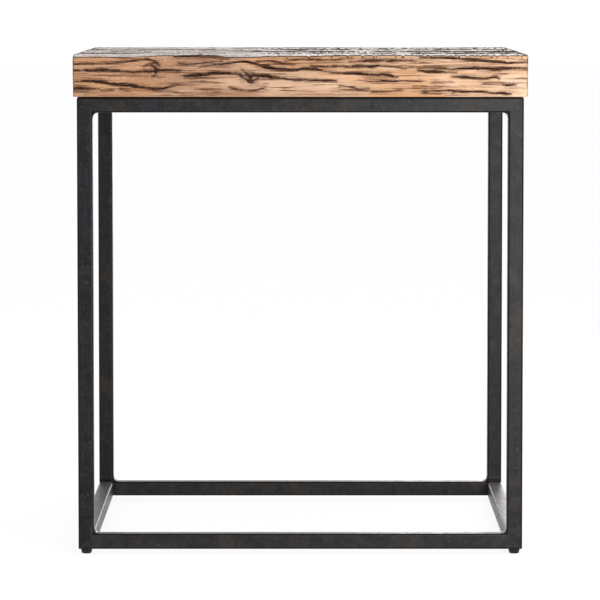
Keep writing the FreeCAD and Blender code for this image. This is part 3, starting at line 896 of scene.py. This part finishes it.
def new_finish(name, **values):
    """A material with one shader; its constants are the shader's own values."""
    material = bpy.data.materials.new(name)
    tree = empty_nodes(material)
    inputs = {label.replace("_", " "): value for label, value in values.items()}
    shader = add_node(tree, "ShaderNodeBsdfPrincipled", inputs)
    add_node(tree, "ShaderNodeOutputMaterial", {"Surface": shader})
    return material, tree, shader


def coordinate(tree, name="Object"):
    return result(tree.nodes.new("ShaderNodeTexCoord"), name)


def mesh_attribute(tree, name, output="Fac"):
    return result(add_node(tree, "ShaderNodeAttribute", attribute_name=name), output)


def bump(height, distance, strength):
    inputs = {"Height": height, "Distance": distance, "Strength": strength}
    return add_node(height.tree, "ShaderNodeBump", inputs)


def mix(share, first, second):
    """Two colours mixed by a share from 0 to 1."""
    inputs = {"Factor": share, "A": first, "B": second}
    return result(add_node(share.tree, "ShaderNodeMix", inputs, data_type="RGBA"))


def layered(colour, *layers):
    """Tints laid over a colour one by one, each as its share from 0 to 1 and what it shows."""
    for share, *tint in layers:
        colour = mix(share, colour, paint(*tint))
    return colour


RING_WIDTH = 0.0034
RING_BEND = 0.007
# Below the top of the slab, where the painted shade in the notches ends and is full
NOTCH_SHADE = (0.0062, 0.0042)
# Below the slab, where the painted shadow on the frame starts and is full
UNDER_SLAB_SHADE = (0.0034, 0.0024)


def side_tint(place, facing, streaks):
    """Pinkish brown at the left and paler towards the right, partly by painted light, with rings
    and knots.
    """
    x, _, z = place.parts()
    facing_x, facing_y, _ = facing.parts()
    # Paler towards the right: partly the wood's own tone, partly painted light from the lamp at
    # the right
    rightward = x.ramp(-0.18, 0.26)
    deep = mix(rightward, paint(108, 73, 51), paint(160, 116, 86))
    plain = mix(rightward, paint(172, 129, 99), paint(226, 184, 148))
    pale = mix(rightward, paint(198, 158, 128), paint(244, 208, 176))
    cloud = noise(place, (12.0, 30.0, 60.0))
    orange = noise(place, (6.0, 20.0, 26.0), detail=2.0)
    colour = mix(streaks.ramp(0.3, 0.54), deep, plain)
    colour = mix(cloud.ramp(0.4, 0.68), colour, pale)
    colour = layered(colour, (orange.ramp(0.5, 0.72, 0.0, 0.55), 205, 146, 96))

    # Growth rings on the ends
    pith = mesh_attribute(place.tree, "pith", "Vector") * (0.0, 1.0, 1.0)
    bent = noise(place, (0.0, 30.0, 30.0), detail=2.0) * RING_BEND
    ring = ((pith.maths("LENGTH") + bent) / RING_WIDTH).maths("FRACT")
    late = ring.ramp(0.45, 0.85) * (1 - ring.ramp(0.9, 1.0))
    late = late * noise(place, (0.0, 70.0, 70.0)).ramp(0.25, 0.6, 0.3, 1.0)
    on_end = facing_x.maths("ABSOLUTE").ramp(0.6, 0.85)
    colour = layered(colour, (on_end * late * 0.6, 112, 74, 50))

    # Knots: dark and twisted, with pale splinters
    splinters = noise(place, (420.0, 200.0, 700.0)).ramp(0.52, 0.62)
    front = (facing_y * -1).ramp(0.5, 0.8)
    for knot_x, knot_z, size in KNOTS:
        off = vector_of((x - knot_x) * 0.7, 0.0, z - (TOP_LOW.z + knot_z))
        near = (1.0 - off.maths("LENGTH").ramp(size * 0.3, size)) * front
        colour = layered(colour, (near * 0.45, 112, 74, 52), (near * splinters, 232, 200, 174))
    return colour


def top_tint(place, facing_z):
    """Silver-grey, bleached by the weather and paler to the right, partly by painted light, with
    painted shade as dark flecks on the walls of the blocks.
    """
    # Paler towards the right, where the top is rougher: partly painted light from the lamp at
    # the right
    rougher_and_painted_lighter = place.parts()[0].ramp(-0.12, 0.0)
    grey = mix(rougher_and_painted_lighter, paint(166, 155, 150), paint(232, 222, 216))
    silver = mix(rougher_and_painted_lighter, paint(234, 226, 222), paint(255, 252, 250))
    bleach = noise(place, (30.0, 90.0, 0.0), detail=5.0, roughness=0.7)
    brown = noise(place, (5.0, 26.0, 0.0))
    lean = coordinate(place.tree, "Normal").parts()[2]
    # Painted shade: the steep walls of the blocks are darkened, as shade falls on them
    shaded_walls = (1.0 - lean).ramp(0.01, 0.09) * facing_z.ramp(0.8, 0.95)
    flecks = noise(place, (230.0, 60.0, 60.0), detail=2.0)
    return layered(
        mix(bleach.ramp(0.3, 0.6), grey, silver),
        (brown.ramp(0.55, 0.75, 0.0, 0.4), 178, 150, 132),
        # Painted shade on the steep walls of the blocks
        (shaded_walls * flecks.ramp(0.55, 0.6, 0.0, 0.95), 42, 30, 25),
    )


def weathered_wood():
    """Tan, brown-streaked sides and ends; a silver-grey, checked top."""
    material, tree, shader = new_finish(
        "weathered_wood", Roughness=0.78, Specular_IOR_Level=0.25
    )
    place = coordinate(tree)
    facing = mesh_attribute(tree, "facing", "Vector")
    facing_x, _, facing_z = facing.parts()
    worked = mesh_attribute(tree, "worked")
    to_crack = mesh_attribute(tree, "to_crack")
    frayed = noise(place, (75.0, 1100.0, 1100.0), detail=5.0, roughness=0.75) - 0.5
    core = 1 - (to_crack + frayed * 3.6).ramp(-0.25, 0.65)
    halo = 1 - (to_crack + frayed * 6.0).ramp(-0.4, 2.2)

    # The top's own cracks, over the same pattern that cut them; cores near black, as painted
    # shade in the cracks
    top = facing_z.ramp(0.35, 0.8)
    short, worn, _ = short_checks(place)
    patchy = noise(place, (170.0, 60.0, 60.0), detail=2.0).ramp(0.42, 0.58, 0.42, 0.92)
    core = core.maths("MAXIMUM", short * top * patchy)
    core = core.maths("MAXIMUM", long_checks(place) * top * (0.1 + patchy)) * worked
    halo = halo.maths("MAXIMUM", worn * top * 0.08) * worked

    # Speckles, ticks and hairlines of the grain
    speckle = noise(place, (420.0, 700.0, 900.0), roughness=0.7)
    ticks = noise(place, (22.0, 420.0, 420.0)).ramp(0.55, 0.65)
    hairlines = noise(place, (16.0, 900.0, 900.0)).ramp(0.5, 0.62)
    hairlines = hairlines * (1 - to_crack.ramp(1.0, 7.0))
    fine_marks = ticks.maths("MAXIMUM", hairlines) * worked * (1 - facing_z.ramp(0.5, 0.9))

    # Painted shade along the arrises, at the corners and in the notches
    arris = facing_z.ramp(0.05, 0.25) * (1 - facing_z.ramp(0.85, 0.97))
    on_end = facing_x.maths("ABSOLUTE")
    corner = on_end.ramp(0.2, 0.5) * (1 - on_end.ramp(0.8, 0.95)) * 0.5
    near_top = place.parts()[2].ramp(*(TOP_HIGH.z - below for below in NOTCH_SHADE))
    painted_shade = arris.maths("MAXIMUM", corner).maths("MAXIMUM", arris_notches(place) * near_top)

    streaks = noise(place, (9.0, 420.0, 420.0), detail=6.0, roughness=0.7)
    sides = side_tint(place, facing, streaks)
    colour = layered(
        mix(facing_z.ramp(0.55, 0.9), sides, top_tint(place, facing_z)),
        (speckle.ramp(0.55, 0.75, 0.0, 0.5), 252, 236, 218),
        (speckle.ramp(0.25, 0.45, 0.5, 0.0), 106, 66, 42),
        (fine_marks * 0.85, 82, 48, 28),
        (halo * 0.7, 84, 46, 24),
        # Painted shade along arrises, corners and notches
        (painted_shade * 0.9, 48, 26, 14),
    )
    # Painted shade: crack cores near black, with pale slivers of torn wood
    slivers = noise(place, (46.0, 500.0, 1000.0), detail=4.0, roughness=0.8)
    inside = mix(slivers.ramp(0.5, 0.6, 0.0, 0.8), paint(24, 9, 3), paint(134, 92, 66))
    plug(shader.inputs["Base Color"], mix(core.ramp(0.1, 0.8, 0.0, 0.97), colour, inside))
    fine = noise(place, (30.0, 900.0, 900.0), detail=4.0, roughness=0.7)
    plug(shader.inputs["Normal"], bump(fine + streaks * 0.6, 0.0005, 0.7))
    return material


# Darkest and lightest of the lacquer on the pieces that run across, deep and up; the darker pair
# of the legs, which run up, is painted shade
STEEL_TONES = (
    ((22, 22, 23), (40, 39, 40)),
    ((20, 19, 18), (38, 35, 33)),
    ((12, 12, 12), (25, 24, 25)),
)


def blackened_steel(name, direction):
    """Near-black lacquered steel; direction is the axis that the brush ran along."""
    material, tree, shader = new_finish(name, Specular_IOR_Level=0.18)
    place = coordinate(tree)
    normal = coordinate(tree, "Normal")
    brush_scale, across_scale = [700.0] * 3, [300.0] * 3
    brush_scale[direction], across_scale[direction] = 14.0, 260.0
    brush = noise(place, brush_scale, roughness=0.6)
    across = noise(place, across_scale, detail=4.0)
    mottle = noise(place, 60.0, detail=5.0, roughness=0.65)
    patina = noise(place, 24.0)
    spots = noise(place, 230.0, roughness=0.7)
    # Upward faces paler: dust, and a painted sheen of the bright surroundings seen at a grazing
    # angle
    dust_and_sheen = normal.parts()[2].ramp(0.9, 0.99) * mottle.ramp(0.2, 0.6, 0.1, 0.26)
    # Painted shadow close under the slab, on the top of the frame
    painted_shade = place.parts()[2].ramp(*(TOP_LOW.z - below for below in UNDER_SLAB_SHADE))
    # Rounded edges: near black as painted shade, and smoother lacquer
    x, y, z = normal.maths("ABSOLUTE").parts()
    edge = (1.0 - x.maths("MAXIMUM", y).maths("MAXIMUM", z)).ramp(0.005, 0.07)
    dark, light = STEEL_TONES[direction]
    plug(shader.inputs["Base Color"], layered(
        mix(mottle.ramp(0.3, 0.7), paint(*dark), paint(*light)),
        (patina.ramp(0.34, 0.48, 0.7, 0.0), 20, 27, 33),
        (patina.ramp(0.52, 0.66, 0.0, 0.6), 54, 45, 39),
        (brush.ramp(0.5, 0.75, 0.0, 0.5), 50, 48, 48),
        (across.ramp(0.5, 0.75, 0.0, 0.35), 50, 47, 44),
        (spots.ramp(0.56, 0.68, 0.0, 0.5), 62, 59, 60),
        (spots.ramp(0.32, 0.44, 0.5, 0.0), 12, 13, 15),
        # Dust, with a painted sheen on the upward faces
        (dust_and_sheen, 158, 152, 147),
        # Painted shadow under the slab
        (painted_shade, 4, 4, 4),
        # Painted shade on the rounded edges
        (edge, 7, 7, 7),
    ))
    rough = mottle.ramp(0.25, 0.75, 0.30, 0.44)
    plug(shader.inputs["Roughness"], rough + edge * (0.2 - rough))
    plug(shader.inputs["Normal"], bump(brush + mottle * 0.5 + across * 0.6, 0.00012, 0.5))
    return material


def zinc_steel():
    material, tree, shader = new_finish("zinc_steel", Metallic=1.0)
    spangle = noise(coordinate(tree), 700.0, detail=2.0)
    colour = mix(spangle.ramp(0.3, 0.7), paint(150, 150, 146), paint(190, 190, 184))
    plug(shader.inputs["Base Color"], colour)
    plug(shader.inputs["Roughness"], spangle.ramp(0.2, 0.8, 0.28, 0.42))
    return material


def black_plastic():
    material, tree, shader = new_finish(
        "black_plastic", Roughness=0.26, Specular_IOR_Level=0.28
    )
    grain = noise(coordinate(tree), 1400.0, detail=2.0)
    colour = mix(grain.ramp(0.3, 0.7), paint(9, 9, 10), paint(26, 26, 27))
    plug(shader.inputs["Base Color"], colour)
    plug(shader.inputs["Normal"], bump(grain, 0.00005, 0.5))
    return material


def tongue_wood():
    material, tree, shader = new_finish("tongue_wood", Roughness=0.6)
    grain = noise(coordinate(tree), (12.0, 300.0, 300.0))
    colour = mix(grain.ramp(0.35, 0.65), paint(176, 140, 98), paint(204, 172, 128))
    plug(shader.inputs["Base Color"], colour)
    return material


def dress(material, *nodes):
    for node in nodes:
        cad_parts[node].material_slots[0].material = material


def dress_frame(zinc):
    steel_x = blackened_steel("blackened_steel_across", 0)
    steel_y = blackened_steel("blackened_steel_deep", 1)
    steel_z = blackened_steel("blackened_steel_up", 2)
    for corner in CORNERS:
        dress(steel_z, f"leg_{corner}")
    for level in ("top", "bottom"):
        dress(steel_x, f"{level}_rail_front", f"{level}_rail_rear")
        dress(steel_y, f"{level}_rail_left", f"{level}_rail_right")
    dress(steel_z, "upper_corner_welds", "lower_corner_welds")
    dress(zinc, "foot_weld_nuts")
    dress(tongue_wood(), "board_tongues")


# Camera, floor and light

CAMERA_PLACE = (-0.0004, -5.249, 0.698)
CAMERA_PITCH = math.radians(4.442)
CAMERA_LENS = 246.44
SENSOR_WIDTH = 36.0
FLOOR_HALF = 30.0
FLOOR_GAP = 0.0001
FLOOR_GREY = (0.8, 0.8, 0.8, 1.0)
FLOOR_GLOW = 1.12
FLOOR_GLOW_SHARE = 0.8
WORLD_LIGHT = 0.6
WHITE = (1.0, 1.0, 1.0, 1.0)

# Lamps: place, what it points at, width and height, and watts
LAMPS = {
    "softbox_right": ((0.66, -2.0, 0.45), (0.1, -0.2, 0.35), (0.6, 1.3), 25.0),
    "softbox_above": ((0.5, -0.3, 2.4), (0.0, 0.0, 0.6), (1.2, 1.2), 12.0),
    "softbox_behind": ((0.8, 2.6, 0.8), (0.0, 0.2, 0.4), (1.4, 1.0), 15.0),
}


def make_camera():
    data = bpy.data.cameras.new("camera")
    data.lens = CAMERA_LENS
    data.sensor_width = SENSOR_WIDTH
    camera = add_object("camera", data)
    camera.location = CAMERA_PLACE
    camera.rotation_euler = (math.pi / 2 - CAMERA_PITCH, 0.0, 0.0)
    bpy.context.scene.camera = camera


def seen_straight(tree):
    """1 for what the camera sees, also in gloss and through glass, and 0 for the rest."""
    path = tree.nodes.new("ShaderNodeLightPath")
    straight = result(path, "Is Camera Ray")
    for ray in ("Is Glossy Ray", "Is Transmission Ray"):
        straight = straight.maths("MAXIMUM", result(path, ray))
    return straight


def mix_shaders(share, *shaders):
    node = share.tree.nodes.new("ShaderNodeMixShader")
    for socket, value in zip(node.inputs, (share, *shaders)):
        plug(socket, value)
    return node


def make_floor():
    """A pale floor, white to the camera but for the soft shadow, and clear from below."""
    half, low = FLOOR_HALF, -FLOOR_GAP
    mesh = bpy.data.meshes.new("floor")
    corners = [(-half, -half, low), (half, -half, low), (half, half, low), (-half, half, low)]
    mesh.from_pydata(corners, [], [(0, 1, 2, 3)])
    floor = add_object("floor", mesh)

    material = bpy.data.materials.new("studio_floor")
    tree = empty_nodes(material)
    matt = add_node(tree, "ShaderNodeBsdfDiffuse", {"Color": FLOOR_GREY})
    white = add_node(tree, "ShaderNodeEmission", {"Color": WHITE, "Strength": FLOOR_GLOW})
    above = mix_shaders(seen_straight(tree) * FLOOR_GLOW_SHARE, matt, white)
    below = result(tree.nodes.new("ShaderNodeNewGeometry"), "Backfacing")
    shown = mix_shaders(below, above, tree.nodes.new("ShaderNodeBsdfTransparent"))
    add_node(tree, "ShaderNodeOutputMaterial", {"Surface": shown})
    mesh.materials.append(material)


def make_world():
    """White to the eye and in gloss, and a plain level of light on everything else."""
    world = bpy.data.worlds.new("studio")
    bpy.context.scene.world = world
    tree = empty_nodes(world)
    strength = WORLD_LIGHT + seen_straight(tree) * (1.0 - WORLD_LIGHT)
    inputs = {"Color": WHITE, "Strength": strength}
    background = add_node(tree, "ShaderNodeBackground", inputs)
    add_node(tree, "ShaderNodeOutputWorld", {"Surface": background})


def make_light(name, place, target, size, power):
    data = bpy.data.lights.new(name, "AREA")
    data.shape = "RECTANGLE"
    data.size, data.size_y = size
    data.energy = power
    light = add_object(name, data)
    light.location = place
    aim = Vector(target) - Vector(place)
    light.rotation_euler = aim.to_track_quat("-Z", "Y").to_euler()
    light.visible_camera = False


make_camera()
make_world()
make_floor()
for name, lamp in LAMPS.items():
    make_light(name, *lamp)
zinc = zinc_steel()
dress_frame(zinc)
make_screws(zinc)
make_studs(zinc)
make_feet(black_plastic())
make_boards(weathered_wood())

bpy.context.scene.view_settings.view_transform = "Standard"
